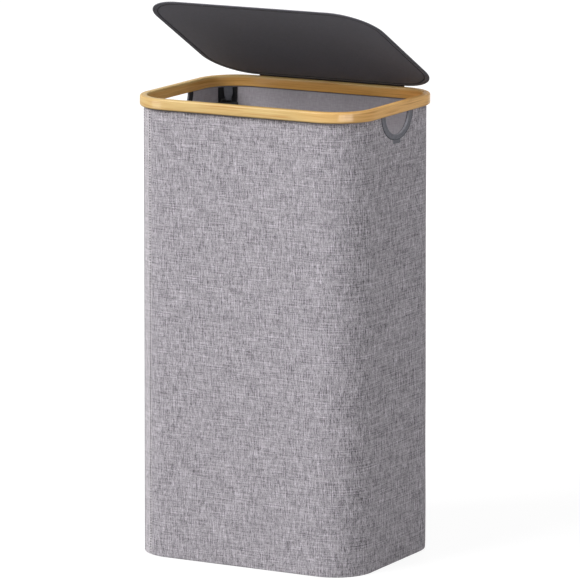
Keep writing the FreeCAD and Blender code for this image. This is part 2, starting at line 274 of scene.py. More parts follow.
def join(name, pieces):
    """One object from several, which keeps their attributes."""
    for other in bpy.context.selected_objects:
        other.select_set(False)
    for piece in pieces:
        piece.select_set(True)
    bpy.context.view_layer.objects.active = pieces[0]
    bpy.ops.object.join()
    pieces[0].name = name
    return pieces[0]


def stitches(name, places, alongs, normals, length, radius):
    """Thread laid over cloth: one small bowed lozenge at each place."""
    rings = np.array([-0.5, -0.4, -0.15, 0.15, 0.4, 0.5]) * length
    girth = np.array([0.25, 0.8, 1.0, 1.0, 0.8, 0.25]) * radius
    rise = np.array([-0.3, 0.0, 0.3, 0.3, 0.0, -0.3]) * radius
    sides = 6
    turn = np.arange(sides) * 2 * np.pi / sides
    local = np.zeros((len(rings), sides, 3))
    local[..., 0] = rings[:, None]
    local[..., 1] = girth[:, None] * np.cos(turn)
    local[..., 2] = girth[:, None] * np.sin(turn) + rise[:, None]
    local = local.reshape(-1, 3)
    along = np.array(alongs)
    up = np.array(normals)
    side = np.cross(up, along)
    points = (np.array(places)[:, None] + along[:, None] * local[:, 0, None]
              + side[:, None] * local[:, 1, None] + up[:, None] * local[:, 2, None])
    faces = []
    for index in range(len(points)):
        start = index * len(local)
        faces += grid_faces(len(rings), sides, False, True, start)
        faces.append(list(range(start, start + sides))[::-1])
        faces.append(list(range(start + len(local) - sides, start + len(local))))
    return make_object(name, points, faces, angle=80)


def normals_of(path):
    """Unit normals, to the right of the way it runs, at the points of a line in a plane."""
    run = np.gradient(path, axis=0)
    run /= np.linalg.norm(run, axis=1)[:, None]
    return np.column_stack([run[:, 1], -run[:, 0]])


def spaced(path, pitch):
    """Points and directions every `pitch` along a polyline."""
    total = lengths_along(path)
    marks = np.arange(pitch / 2, total[-1], pitch)
    points = np.column_stack([np.interp(marks, total, path[:, k]) for k in range(3)])
    index = np.clip(np.searchsorted(total, marks) - 1, 0, len(path) - 2)
    run = (np.diff(path, axis=0) / np.diff(total)[:, None])[index]
    return points, run


# ---- materials
class Graph:
    """Node tree of a new material or world; a socket or a value goes to each named input."""

    def __init__(self, name, kind="materials"):
        self.owner = getattr(bpy.data, kind).new(name)
        self.owner.use_nodes = True
        self.tree = self.owner.node_tree
        self.tree.nodes.clear()

    def add(self, kind, inputs=(), **settings):
        node = self.tree.nodes.new("ShaderNode" + kind)
        for key, value in settings.items():
            setattr(node, key, value)
        for key, value in dict(inputs).items():
            if isinstance(value, bpy.types.NodeSocket):
                self.tree.links.new(value, node.inputs[key])
            else:
                node.inputs[key].default_value = value
        return node

    def math(self, operation, a, b=0.0, c=0.0):
        return self.add("Math", {0: a, 1: b, 2: c}, operation=operation).outputs[0]

    def scaled(self, vector, scale):
        return self.add("VectorMath", {0: vector, 1: scale}, operation="MULTIPLY").outputs[0]

    def noise(self, vector, scale=1.0, detail=2.0, roughness=0.5):
        node = self.add("TexNoise", {"Vector": vector, "Scale": scale, "Detail": detail,
                                     "Roughness": roughness})
        return node.outputs["Fac"]

    def ramp(self, value, low, high, to_low=0.0, to_high=1.0):
        node = self.add("MapRange", {"Value": value, "From Min": low, "From Max": high,
                                     "To Min": to_low, "To Max": to_high})
        return node.outputs[0]

    def mix(self, share, a, b, blend="MIX"):
        node = self.add("Mix", {0: share, 6: a, 7: b}, data_type="RGBA", blend_type=blend)
        return node.outputs[2]

    def cloth(self):
        return self.add("Attribute", attribute_name="cloth").outputs["Vector"]

    def position(self):
        return self.add("TexCoord").outputs["Object"]

    def bump(self, height, strength, distance):
        node = self.add("Bump", {"Height": height, "Strength": strength, "Distance": distance})
        return node.outputs["Normal"]

    def finish(self, colour, roughness, normal=None, **fixed):
        shader = self.add("BsdfPrincipled", {"Base Color": colour, "Roughness": roughness})
        if normal is not None:
            self.tree.links.new(normal, shader.inputs["Normal"])
        for key, value in fixed.items():
            shader.inputs[key.replace("_", " ")].default_value = value
        return self.output(shader)

    def output(self, shader, kind="Material"):
        self.add("Output" + kind, {"Surface": shader.outputs[0]})
        return self.owner


def srgb(red, green, blue):
    """Linear colour of an 8-bit sRGB one."""
    return tuple((v / 255 / 12.92 if v < 10.3 else ((v / 255 + 0.055) / 1.055) ** 2.4)
                 for v in (red, green, blue)) + (1.0,)


def tints(colour, spread):
    """A darker and a lighter colour than an 8-bit sRGB one, by the share spread."""
    red, green, blue, _ = srgb(*colour)
    return [(red * share, green * share, blue * share, 1) for share in (1 - spread, 1 + spread)]


CLOTH_SHEEN = {"Sheen_Weight": 0.08, "Sheen_Roughness": 0.5, "Specular_IOR_Level": 0.25}


def weave(graph, cloth, pitch):
    """Height of a plain weave, 0 to 1, from cloth coordinates in metres."""
    axes = graph.add("SeparateXYZ", {0: graph.scaled(cloth, (math.pi / pitch,) * 3)})
    warp = graph.math("SINE", axes.outputs[0])
    weft = graph.math("SINE", axes.outputs[1])
    return graph.math("MULTIPLY_ADD", graph.math("MULTIPLY", warp, weft), 0.5, 0.5)


def slub(graph, cloth, across, along):
    """Thread noise about zero; across and along are its cells per metre in the two directions.
    The noise is turned in its own plane, so that its cells don't line up in rows on the cloth."""
    cells = graph.scaled(cloth, (across, along, 1))
    turned = graph.add("VectorRotate", {"Vector": cells, "Angle": 0.7}, rotation_type="Z_AXIS")
    noise = graph.noise(turned.outputs[0], detail=1.0, roughness=0.8)
    return graph.math("SUBTRACT", noise, 0.5)


def summed(graph, terms, start):
    """start plus each term's noise times its weight."""
    total = start
    for noise, weight in terms:
        total = graph.math("MULTIPLY_ADD", noise, weight, total)
    return total


def linen_material(name, dark, light):
    """Grey slub weave: short and long upright streaks of light and dark thread, few level ones.
    It has painted shade just under the rim: its tone drops towards the rim's lower edge."""
    g = Graph(name)
    cloth = g.cloth()
    threads = (                # cells per metre across and along, and weight
        (1000, 760, 0.95),     # specks
        (1000, 150, 1.1),      # short upright threads
        (900, 35, 1.1),        # long upright threads
        (150, 60, 0.3),        # broad upright streaks
        (260, 800, 0.4),       # short level threads
        (24, 760, 0.8),        # long level threads
    )
    height = g.add("SeparateXYZ", {0: cloth}).outputs[1]
    # painted shade under the rim: the tone falls over the last 10 mm below the rim
    under_rim_shade = g.ramp(height, RIM_BOTTOM - 10 * MM, RIM_BOTTOM - 4 * MM, 0.455, 0.335)
    terms = [(slub(g, cloth, across, along), weight) for across, along, weight in threads]
    level = summed(g, terms, under_rim_shade)
    for light_thread in (slub(g, cloth, 850, 22), slub(g, cloth, 15, 720)):
        level = g.math("ADD", level, g.ramp(light_thread, 0.12, 0.24, 0, 0.3))
    relief = g.math("MULTIPLY_ADD", weave(g, cloth, 0.62 * MM), 0.5, level)
    return g.finish(g.mix(level, dark, light), 0.92, g.bump(relief, 1.0, 0.6 * MM),
                    Sheen_Weight=0.1, Sheen_Roughness=0.5, Specular_IOR_Level=0.2)


def woven_material(name, colour, spread, pitch=0.45 * MM, bump=0.2, streak=(500, 60)):
    """Plain fine cloth with faint thread tones."""
    g = Graph(name)
    cloth = g.cloth()
    warp = g.noise(g.scaled(cloth, (streak[0], streak[1], 1)))
    weft = g.noise(g.scaled(cloth, (streak[1], streak[0], 1)))
    broad = g.noise(g.scaled(cloth, (14, 14, 1)))
    tone = g.math("MULTIPLY_ADD", broad, 0.6, g.math("ADD", warp, weft))
    normal = g.bump(weave(g, cloth, pitch), bump, 0.15 * MM)
    colour = g.mix(g.ramp(tone, 0.8, 1.8), *tints(colour, spread))
    return g.finish(colour, 0.9, normal, **CLOTH_SHEEN)


def bamboo_material():
    """Lacquered bamboo strip with its grain along it. It is ruddier from the right of the front to
    the back right corner, as in the photo, and has painted shade on its inner face."""
    g = Graph("bamboo")
    strip = g.cloth()
    axes = g.add("SeparateXYZ", {0: strip})
    along, round_it = axes.outputs[0], axes.outputs[1]
    fibre = g.noise(g.scaled(strip, (14, 1300, 1)), detail=3, roughness=0.65)
    streak = g.noise(g.scaled(strip, (9, 210, 1)), roughness=0.6)
    broad = g.noise(g.scaled(strip, (5, 60, 1)))
    base = g.mix(g.ramp(broad, 0.3, 0.7), srgb(204, 171, 110), srgb(222, 195, 136))
    ruddy = g.math("MULTIPLY", g.ramp(along, 0.27, 0.40), g.ramp(along, 0.60, 0.72, 1, 0))
    # painted shade: the inner face gets a darker, more orange copy of the bamboo
    inner = g.ramp(round_it, 29 * MM, 33 * MM)
    base = g.mix(ruddy, base, g.mix(1.0, base, (1.29, 1.06, 0.91, 1), blend="MULTIPLY"))
    base = g.mix(inner, base, g.mix(1.0, base, (1.08, 0.84, 0.62, 1), blend="MULTIPLY"))
    base = g.mix(g.ramp(streak, 0.5, 0.7, 0, 0.65), base, srgb(186, 131, 68))
    base = g.mix(g.ramp(fibre, 0.45, 0.75, 0, 0.5), base, srgb(170, 112, 55))
    normal = g.bump(g.math("MULTIPLY_ADD", streak, 0.5, fibre), 0.12, 0.2 * MM)
    return g.finish(base, g.ramp(fibre, 0.2, 0.8, 0.4, 0.55), normal,
                    Specular_IOR_Level=0.0, Coat_Weight=0.3, Coat_Roughness=0.2)


def binding_material():
    """Tape round a hand hole, with painted shade on its inner face; the third cloth coordinate is
    the depth.
    """
    g = Graph("binding_cloth_and_shade")
    cloth = g.cloth()
    warp = slub(g, cloth, 420, 110)
    weft = slub(g, cloth, 110, 420)
    level = summed(g, ((warp, 0.9), (weft, 0.9)), 0.5)
    outside = g.mix(level, srgb(92, 93, 99), srgb(128, 128, 136))
    # painted shade: the tape's inner face is a much darker copy of its grey
    inside = g.mix(level, srgb(30, 30, 33), srgb(48, 48, 52))
    depth = g.add("SeparateXYZ", {0: cloth}).outputs[2]
    colour = g.mix(g.ramp(depth, WALL_STACK * 0.6, WALL_STACK * 0.8), outside, inside)
    normal = g.bump(weave(g, cloth, 0.8 * MM), 0.35, 0.15 * MM)
    return g.finish(colour, 0.9, normal, **CLOTH_SHEEN)


def speckled_material(name, colour, spread, roughness, metallic=0.0, scale=900):
    """Moulded plastic or metal: fine mottle from the object's own coordinates."""
    g = Graph(name)
    place = g.position()
    fine = g.noise(place, scale=scale, detail=3)
    broad = g.noise(place, scale=scale / 12)
    level = g.math("MULTIPLY_ADD", g.math("SUBTRACT", broad, 0.5), 0.6, fine)
    rough = g.ramp(fine, 0.3, 0.7, roughness * 0.85, min(roughness * 1.15, 1))
    return g.finish(g.mix(g.ramp(level, 0.3, 0.7), *tints(colour, spread)), rough,
                    g.bump(fine, 0.1, 0.1 * MM), Metallic=metallic)


def fibreboard_material():
    g = Graph("fibreboard")
    fibre = g.noise(g.scaled(g.position(), (180, 420, 420)), detail=4, roughness=0.7)
    colour = g.mix(g.ramp(fibre, 0.3, 0.7), srgb(150, 120, 86), srgb(186, 156, 118))
    return g.finish(colour, 0.8, g.bump(fibre, 0.2, 0.2 * MM))


linen = linen_material("outer_linen", srgb(60, 56, 61), srgb(230, 224, 232))
bamboo = bamboo_material()
# seam tape: same weave as the outer cloth, its lighter tones are painted light on the corner strip
seam_tape_cloth_and_light = linen_material("seam_tape_cloth_and_light", srgb(104, 100, 105), srgb(246, 240, 246))
lining_cloth = woven_material("lining_cloth", (160, 155, 161), 0.22, streak=(620, 90))
binding_cloth_and_shade = binding_material()
# real piping cord; its grey, lighter than the tape's, is painted highlight on the rolled edge
piping_cloth_and_highlight = woven_material("piping_cloth_and_highlight", (128, 128, 134), 0.15)
# painted shade: a dark cord stands in for the shadow of the crease at a hand-hole tape's outer edge
crease_shadow_cloth = woven_material("crease_shadow_cloth", (62, 62, 67), 0.2)
# hem tape's grey: partly its own tone, partly painted shade under the rim
hem_cloth_and_shade = woven_material("hem_cloth_and_shade", (138, 135, 140), 0.2)
sleeve_cloth = woven_material("sleeve_cloth", (30, 30, 33), 0.3, pitch=0.9 * MM, bump=0.5)
strap_cloth = woven_material("strap_cloth", (92, 93, 100), 0.25, pitch=1.1 * MM, bump=0.6)
base_cloth = woven_material("base_cloth", (92, 90, 95), 0.2)
lid_cloth = woven_material("lid_cloth", (112, 111, 120), 0.12, streak=(700, 120))
lid_band_cloth = woven_material("lid_band_cloth", (106, 105, 114), 0.12)
flap_cloth = woven_material("flap_cloth", (64, 62, 66), 0.15)
dark_thread = woven_material("dark_thread", (26, 24, 29), 0.3)
lid_thread = woven_material("lid_thread", (52, 51, 57), 0.2)
black_plastic = speckled_material("black_plastic", (26, 26, 28), 0.2, 0.42)
steel = speckled_material("steel", (190, 192, 196), 0.1, 0.3, metallic=1.0, scale=1500)
dark_steel = speckled_material("dark_steel", (110, 108, 106), 0.15, 0.35, metallic=1.0)
sheet_plastic = speckled_material("sheet_plastic", (205, 205, 203), 0.05, 0.5)
fibreboard = fibreboard_material()


def dress(piece, material, body, slot, *replaced):
    """Finish a piece: its material, the body it rides on and the nodes it stands for. The slot
    argument is not used.
    """
    piece.data.materials.clear()
    piece.data.materials.append(material)
    if body:
        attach(piece, body)
    if replaced:
        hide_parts(*replaced)
    return piece


# ---- rim
def rim_section():
    """Rim section as (inset, height) pairs; the slot's roof is marked by a height of None."""
    tall = RIM_TOP - RIM_BOTTOM
    points = []

    def arc(inset, height, radius, start, end, count):
        for degrees in np.linspace(start, end, count):
            turn = math.radians(degrees)
            points.append((inset - radius * math.cos(turn), height + radius * math.sin(turn)))

    arc(RIM_EDGE_R, RIM_EDGE_R, RIM_EDGE_R, -90, 0, 7)
    arc(RIM_EDGE_R, tall - RIM_EDGE_R, RIM_EDGE_R, 0, 90, 7)
    arc(RIM_THICKNESS - RIM_EDGE_R, tall - RIM_EDGE_R, RIM_EDGE_R, 90, 180, 7)
    arc(RIM_THICKNESS - RIM_INNER_EDGE_R, RIM_INNER_EDGE_R, RIM_INNER_EDGE_R, 180, 270, 4)
    inner = SLOT_INSET + SLOT_WIDTH
    return points + [(inner, 0.0), (inner, None), (SLOT_INSET, None), (SLOT_INSET, 0.0)]


def make_rim():
    """Bamboo hoop; the slot for the wall is closed over the hand holes."""
    lap = lap_round(CX, -CY, CY, even_marks(48), hole_marks(HOLE_HALF))
    section = rim_section()
    at_hole = on_short_side(lap) & (np.abs(lap.base[:, 1]) <= HOLE_HALF + 1e-6)
    roof = np.where(at_hole, 0.02 * MM, SLOT_DEPTH)
    inset = np.array([point[0] for point in section])
    height = np.array([roof if level is None else roof * 0 + level for _, level in section]).T
    points = lap.place(np.broadcast_to(CORNER_R - inset, height.shape), RIM_BOTTOM + height)
    round_it = lengths_along(np.column_stack([inset, height[0]]))
    cloth = cloth_map(points, lap.along, round_it)
    return sweep("bamboo_hoop", points, True, cloth, angle=35)


# ---- wall cloths
hole_cut = HOLE_HALF + HOLE_TAPE_T
wall_lap = lap_round(CX, -CY, CY, even_marks(72), hole_marks(hole_cut))


def cut_top(lap):
    """Top edge of the wall's cloths at each station: the slot, or the hand hole's curve."""
    share = lap.base[:, 1] / hole_cut
    at_hole = on_short_side(lap) & (np.abs(share) <= 1 + 1e-9)
    drop = (HOLE_DEPTH + HOLE_TAPE_T) * np.sqrt(np.clip(1 - share ** 2, 0, 1))
    return np.where(at_hole, RIM_BOTTOM - drop, WALL_TOP)[:, None]


def wall_rows(count):
    """Shares of the wall's height, closer together towards its top."""
    return 1 - (1 - np.linspace(0, 1, count)) ** 1.3


def thread_along(lap):
    """Cloth coordinate along a lap, drawn in on the short sides, where the slubs are coarser."""
    density = 1 - 0.48 * smooth(0.4, 1.0, np.abs(lap.out[:, 0]))
    steps = np.diff(lap.along[:, 0]) * (density[1:] + density[:-1]) / 2
    return np.concatenate([[0.0], np.cumsum(steps)])[:, None]


def tape_shade(lap):
    """1 near the closing seam at the front left corner, 0 elsewhere."""
    near = np.minimum(lap.along, lap.along[-1] - lap.along)
    return 1 - smooth(20 * MM, 60 * MM, near)


def hole_calm(lap, z):
    """1 where the cloth lies flat round and below a hand hole, 0 away from it."""
    sideways = smooth(0.95, 1.0, np.abs(lap.out[:, 0]))
    apart = smooth(HOLE_HALF + 14 * MM, HOLE_HALF + 30 * MM, np.abs(lap.base[:, 1]))
    high = smooth(-HOLE_DEPTH - 42 * MM, -HOLE_DEPTH - 24 * MM, z - RIM_BOTTOM)
    return (sideways * (1 - apart))[:, None] * high


def make_outer_cloth():
    """Outer cloth, slack between its seams, rippled under the rim and turned in at the floor."""
    rows = wall_rows(90)
    top = cut_top(wall_lap)
    fold_r = 2.0 * MM
    fold = np.radians(np.linspace(90, 6, 7))
    low = CLEAR + fold_r
    z_out = low + (top - low) * rows
    slack = waves(3, 24, 70 * MM, 340 * MM)(wall_lap.along, z_out * 0.7)
    ripple = waves(5, 16, 8 * MM, 24 * MM)(wall_lap.along, z_out * 0.12)
    calm = (1 - tape_shade(wall_lap)) * (1 - hole_calm(wall_lap, z_out))
    upper = smooth(-60 * MM, -2 * MM, z_out - RIM_BOTTOM) ** 2
    free = 1 - smooth(-4 * MM, -1.5 * MM, z_out - RIM_BOTTOM)
    bulge = 0.35 * MM * (slack + 1.0) * calm * np.clip(free, 0.25, 1)
    bulge = bulge + 0.26 * MM * (ripple + 1.0) * upper * calm * np.clip(free, 0.5, 1)
    reach_out = wall_reach(0.0, z_out) + bulge * smooth(0, 12 * MM, z_out)
    z_fold = np.tile(CLEAR + fold_r * (1 - np.sin(fold)), (len(top), 1))
    reach_fold = wall_reach(0.0, z_fold) - fold_r * (1 - np.cos(fold))
    low_in = CLOTH_T + 0.04 * MM
    z_in = low_in + (top - low_in) * rows[::-1]
    z_tuck = np.full((len(top), 1), CLOTH_T)
    reach = np.hstack([reach_fold, reach_out, wall_reach(CLOTH_T, z_in),
                       wall_reach(fold_r, z_tuck)])
    z = np.hstack([z_fold, z_out, z_in, z_tuck])
    points = wall_lap.place(reach, z)
    return sweep("outer_cloth", points, True, cloth_map(points, thread_along(wall_lap), z))


def make_lining():
    """Inner cloth of the wall, and its floor."""
    rows = wall_rows(60)
    top = cut_top(wall_lap)
    low = FLOOR_TOP - 0.02 * MM
    z_in = low + (top - low) * rows[::-1]
    z_out = low - LINING_T + (top - low + LINING_T) * rows
    slack = waves(11, 24, 60 * MM, 300 * MM)(wall_lap.along, z_in * 0.7)
    loose = smooth(0, 30 * MM, z_in - low) * (1 - smooth(-30 * MM, -4 * MM, z_in - RIM_BOTTOM))
    reach_in = wall_reach(WALL_STACK, z_in) - 0.02 * MM * (1 + slack) * loose
    reach_out = wall_reach(WALL_STACK - LINING_T, z_out)
    z = np.hstack([z_out, z_in])
    points = wall_lap.place(np.hstack([reach_out, reach_in]), z)
    wall = sweep("lining_wall", points, True, cloth_map(points, wall_lap.along, z))
    edge = wall_reach(WALL_STACK, low)
    floor = panel("lining_floor", wall_lap,
                  [(edge - 0.3 * MM, low - LINING_T + 0.02 * MM), (edge - 0.2 * MM, low)])
    return join("lining_cloth", [wall, floor])


def panel(name, lap, edge, lower=None, upper=None, rings=14):
    """Flat closed piece inside a lap. edge runs from its lower face to its upper one as
    (reach, z); lower and upper give the height of a face at points (x, y)."""
    half_x, half_y = np.ptp(lap.base, axis=0) / 2
    spine = np.clip(lap.base, (half_y - half_x, 0), (half_x - half_y, 0))[:, None]
    spine[..., 1] = lap.base[:, 1].min() + half_y
    rim = lap.place(*np.tile(edge, (len(lap.base), 1, 1)).transpose(2, 0, 1))
    shares = np.linspace(0, 1, rings, endpoint=False)[:, None]
    parts = []
    for end, height, order in ((0, lower, 1), (-1, upper, -1)):
        xy = spine + (rim[:, [end], :2] - spine) * shares[::order]
        z = height(xy[..., 0], xy[..., 1]) if height else np.full(xy.shape[:2], edge[end][1])
        parts.append(np.concatenate([xy, z[..., None]], axis=2))
    points = np.hstack([parts[0], rim, parts[1]])
    faces = grid_faces(len(points), points.shape[1], True, False)
    return make_object(name, points, faces, cloth=points, weld=True)


def make_base_cloth():
    reach = wall_reach(2.3 * MM, 0.0)
    return panel("base_cloth", wall_lap,
                 [(reach - 0.3 * MM, 0.0), (reach, 0.3 * MM), (reach - 0.2 * MM, 0.6 * MM)])


def make_hem():
    """Binding over the wall's top edge. Its grey, darker than the outer cloth, is partly painted
    shade; with the rim's shadow it shows as a dark line under the rim.
    """
    hole_clear = HOLE_HALF + HOLE_TAPE + 0.3 * MM
    free = ~(on_short_side(wall_lap) & (np.abs(wall_lap.base[:, 1]) < hole_clear))
    low = RIM_BOTTOM - HEM_DROP
    high = RIM_BOTTOM + SLOT_DEPTH - SLOT_END_GAP - CLEAR
    inside = WALL_STACK + HEM_T
    stack, stack_top = WALL_STACK + CLEAR, WALL_TOP + CLEAR
    section = [(-HEM_T, low + 0.2 * MM), (-HEM_T, high), (inside, high), (inside, low + 0.2 * MM),
               (inside - 0.15 * MM, low), (stack, low), (stack, stack_top),
               (-CLEAR, stack_top), (-CLEAR, low), (-HEM_T + 0.15 * MM, low)]
    pieces = []
    for sign in (-1, 1):
        lap = part_lap(wall_lap, free & (wall_lap.base[:, 1] * sign > 0))
        depth, z = np.tile(section, (len(lap.base), 1, 1)).transpose(2, 0, 1)
        pieces.append(wall_strip("hem", lap, depth, z, z))
    return join("hem_binding", pieces)


# ---- closing seam
SEAM_MIDDLE = 225.5               # bearings round the corner, in degrees
SEAM_HALF = 19.3
SEAM_ROWS = (219.0, 241.8)
SEAM_LOW = 0.8 * MM


def make_seam_tape():
    """Tape over the closing seam, drawn in along its two rows of stitches."""
    across = np.linspace(SEAM_MIDDLE - SEAM_HALF, SEAM_MIDDLE + SEAM_HALF, 25)
    turns = np.radians(across)
    lap = Lap(np.tile([-CX, -CY], (len(turns), 1)), np.column_stack([np.cos(turns), np.sin(turns)]))
    z_out = np.linspace(SEAM_LOW, UNDER_HEM, 100)
    press = sum(np.exp(-((across - row) / 1.1) ** 2) for row in SEAM_ROWS)[:, None]
    pucker = waves(17, 14, 7 * MM, 30 * MM)(across[:, None] * MM * 0.4, z_out[None])
    inside = smooth(0, 4, SEAM_HALF - np.abs(across - SEAM_MIDDLE))[:, None]
    lift = 0.07 * MM + inside * (0.33 * MM - 0.12 * MM * press + 0.07 * MM * pucker)
    z = np.tile(np.concatenate([z_out, z_out[::-1]]), (len(turns), 1))
    depth = np.hstack([-lift, np.full(lift.shape, -0.3 * MM)])
    return wall_strip("seam_cover", lap, depth, z, z - 20 * MM)


def make_seam_stitches():
    places, alongs, normals = [], [], []
    for row in np.radians(SEAM_ROWS):
        out = np.array([math.cos(row), math.sin(row), 0.0])
        for z in np.arange(4 * MM, UNDER_HEM - 1.9 * MM, 4.2 * MM):
            places.append(np.array([-CX, -CY, z]) + out * wall_reach(0.1 * MM, z))
            alongs.append((0.0, 0.0, 1.0))
            normals.append(out)
    return stitches("seam_stitches", places, alongs, normals, 2.7 * MM, 0.95 * MM)


# ---- hand holes
HOLE_TURN = np.linspace(0, np.pi, 49)
HOLE_ALONG = HOLE_TURN[:, None] * (HOLE_HALF + HOLE_DEPTH) / 2


def round_hole(side, margin, depth):
    """Points round a hand hole at each margin outside it and each depth in the wall."""
    narrow = 1.05 - 0.33 * np.sin(HOLE_TURN)[:, None] ** 2
    y = (HOLE_HALF + margin * narrow) * np.cos(HOLE_TURN)[:, None]
    z = RIM_BOTTOM - (HOLE_DEPTH + margin * narrow) * np.sin(HOLE_TURN)[:, None]
    x = (CX + wall_reach(depth, z)) * side
    points = np.stack([x, y, z], axis=-1)
    return points[::-1] if side > 0 else points


def side_of(side):
    return "right" if side > 0 else "left"


def hole_binding(side):
    """Tape bound round a hand hole, rolled over its edge, and the tape's end below it."""
    outward = np.array([(10.9, -0.1), (10.7, -0.5), (9.6, -0.66), (7.2, -0.68), (4.9, -0.6),
                        (3.4, -0.62), (2.4, -0.8), (1.4, -0.86), (0.6, -0.6), (0.15, -0.1)]) * MM
    around = np.array([(0.0, 0.3), (0.0, 0.5), (0.0, 0.7)]) * WALL_STACK
    around[1, 0] = -CLEAR
    inward = outward[::-1] * (1, -1) + (0, WALL_STACK)
    back = np.array([(10.8, 0.02), (0.5, 0.02)]) * MM
    section = np.concatenate([outward, around, inward,
                              back + (0, WALL_STACK), back[::-1] * (1, -1)])
    margin, depth = section.T
    points = round_hole(side, margin, depth)
    cloth = cloth_map(points, HOLE_ALONG, margin - np.abs(depth), depth)
    return join("hole_binding_" + side_of(side),
                [sweep("hole_tape", points, False, cloth), hole_tape_end(side)])


def hole_tape_end(side):
    """Free end of the tape, lying on the cloth below the hand hole."""
    y = np.linspace(-12, 11, 13)[:, None] * MM
    drop = np.linspace(0, 7.5, 9) * MM
    z_out = RIM_BOTTOM - HOLE_DEPTH - 6.5 * MM - drop * (1 + 0.04 * np.sin(y * 260))
    loose = smooth(4 * MM, 12 * MM, drop) * (1 + 0.5 * np.cos(y * 400))
    lift = (0.45 + 0.35 * loose) * MM
    z = np.hstack([z_out, z_out[:, ::-1]])
    depth = np.hstack([-lift, 0.3 * MM - lift[:, ::-1]])
    x = (CX + wall_reach(depth, z)) * side
    points = np.stack([x, np.broadcast_to(y, x.shape), z], axis=-1)
    cloth = cloth_map(points, y, z)
    if side < 0:
        points, cloth = points[::-1], cloth[::-1]
    return sweep("hole_tape_end", points, False, cloth)


def hole_cord(side, name, margin, rise, radius):
    """Thin cord round a hand hole, outside the wall by rise."""
    turn = np.arange(8) * np.pi / 4
    margins = margin + radius * np.cos(turn)
    points = round_hole(side, margins, -rise - radius * np.sin(turn))
    return sweep(name + "_" + side_of(side), points, False, cloth_map(points, HOLE_ALONG, margins))


# ---- corner supports
def corner_frame(corner):
    """A corner's centre, its outward direction and the direction across it."""
    sx, sy, bearing = CORNERS[corner]
    turn = math.radians(bearing)
    out = np.array([math.cos(turn), math.sin(turn), 0.0])
    side = np.array([-math.sin(turn), math.cos(turn), 0.0])
    return np.array([sx * CX, sy * CY, 0.0]), out, side


def from_corner(corner, distance, across, z):
    origin, out, side = corner_frame(corner)
    up = np.array([0.0, 0.0, 1.0])
    return origin + distance[..., None] * out + across[..., None] * side + z[..., None] * up


BAND_ASIDE = {"back_left": -2.2 * MM}      # the sewn band's offset from its pole
STRAP_ASIDE = {"back_left": -3.0 * MM}     # the strap's offset at the rim


def make_sleeve(corner):
    """Band sewn down the corner, with the tunnel that holds the pole."""
    half = 15.5 * MM
    tunnel_r = 3.75 * MM
    foot = FLOOR_TOP + 11.5 * MM
    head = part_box("pole_clip_" + corner)[0].z - 1.5 * MM
    low = FLOOR_TOP + CLEAR
    origin, out, _ = corner_frame(corner)
    pole = np.dot(np.mean(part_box("support_pole_" + corner), axis=0) - origin, out)
    levels = np.concatenate([[low, foot - 0.3 * MM], np.linspace(foot, head, 50),
                             [head + 0.3 * MM, (head + UNDER_HEM) / 2, UNDER_HEM]])
    aside = BAND_ASIDE.get(corner, 0.0)
    edge_turn = np.linspace(-half, half, 15) + aside
    right = np.linspace(half + aside, 5.6 * MM, 5)
    left = -np.linspace(half - aside, 5.6 * MM, 5)[::-1]
    neck = np.array([4.5, 3.9]) * MM
    rounds = np.radians(np.linspace(90, -90, 11))
    slack = waves(23, 10, 20 * MM, 90 * MM)
    rows_d, rows_a = [], []
    for z in levels:
        behind = wall_reach(WALL_STACK + 0.04 * MM, z)
        front = wall_reach(WALL_STACK + SLEEVE_T, z)
        turns = edge_turn / behind
        if foot - 1e-6 <= z <= head + 1e-6:
            r = tunnel_r + 0.12 * MM * slack(z, 0.0)
            ring = r * np.sin(rounds)
            ring_d = pole - r * np.cos(rounds)
            neck_d = front - np.array([0.35, 1.4]) * MM
        else:
            ring = 3.0 * MM * np.sin(rounds)
            ring_d = np.sqrt(front ** 2 - ring ** 2)
            neck_d = np.sqrt(front ** 2 - neck ** 2)
        right_d, left_d = np.sqrt(front ** 2 - right ** 2), np.sqrt(front ** 2 - left ** 2)
        rows_d.append([*behind * np.cos(turns), *right_d, *neck_d, *ring_d, *neck_d[::-1], *left_d])
        rows_a.append([*behind * np.sin(turns), *right, *neck, *ring, *-neck[::-1], *left])
    d, a = np.array(rows_d), np.array(rows_a)
    z = np.broadcast_to(levels[:, None], d.shape)
    points = from_corner(corner, d, a, z)
    return sweep("sleeve_" + corner, points[::-1], False, cloth_map(points, a, z, d)[::-1])


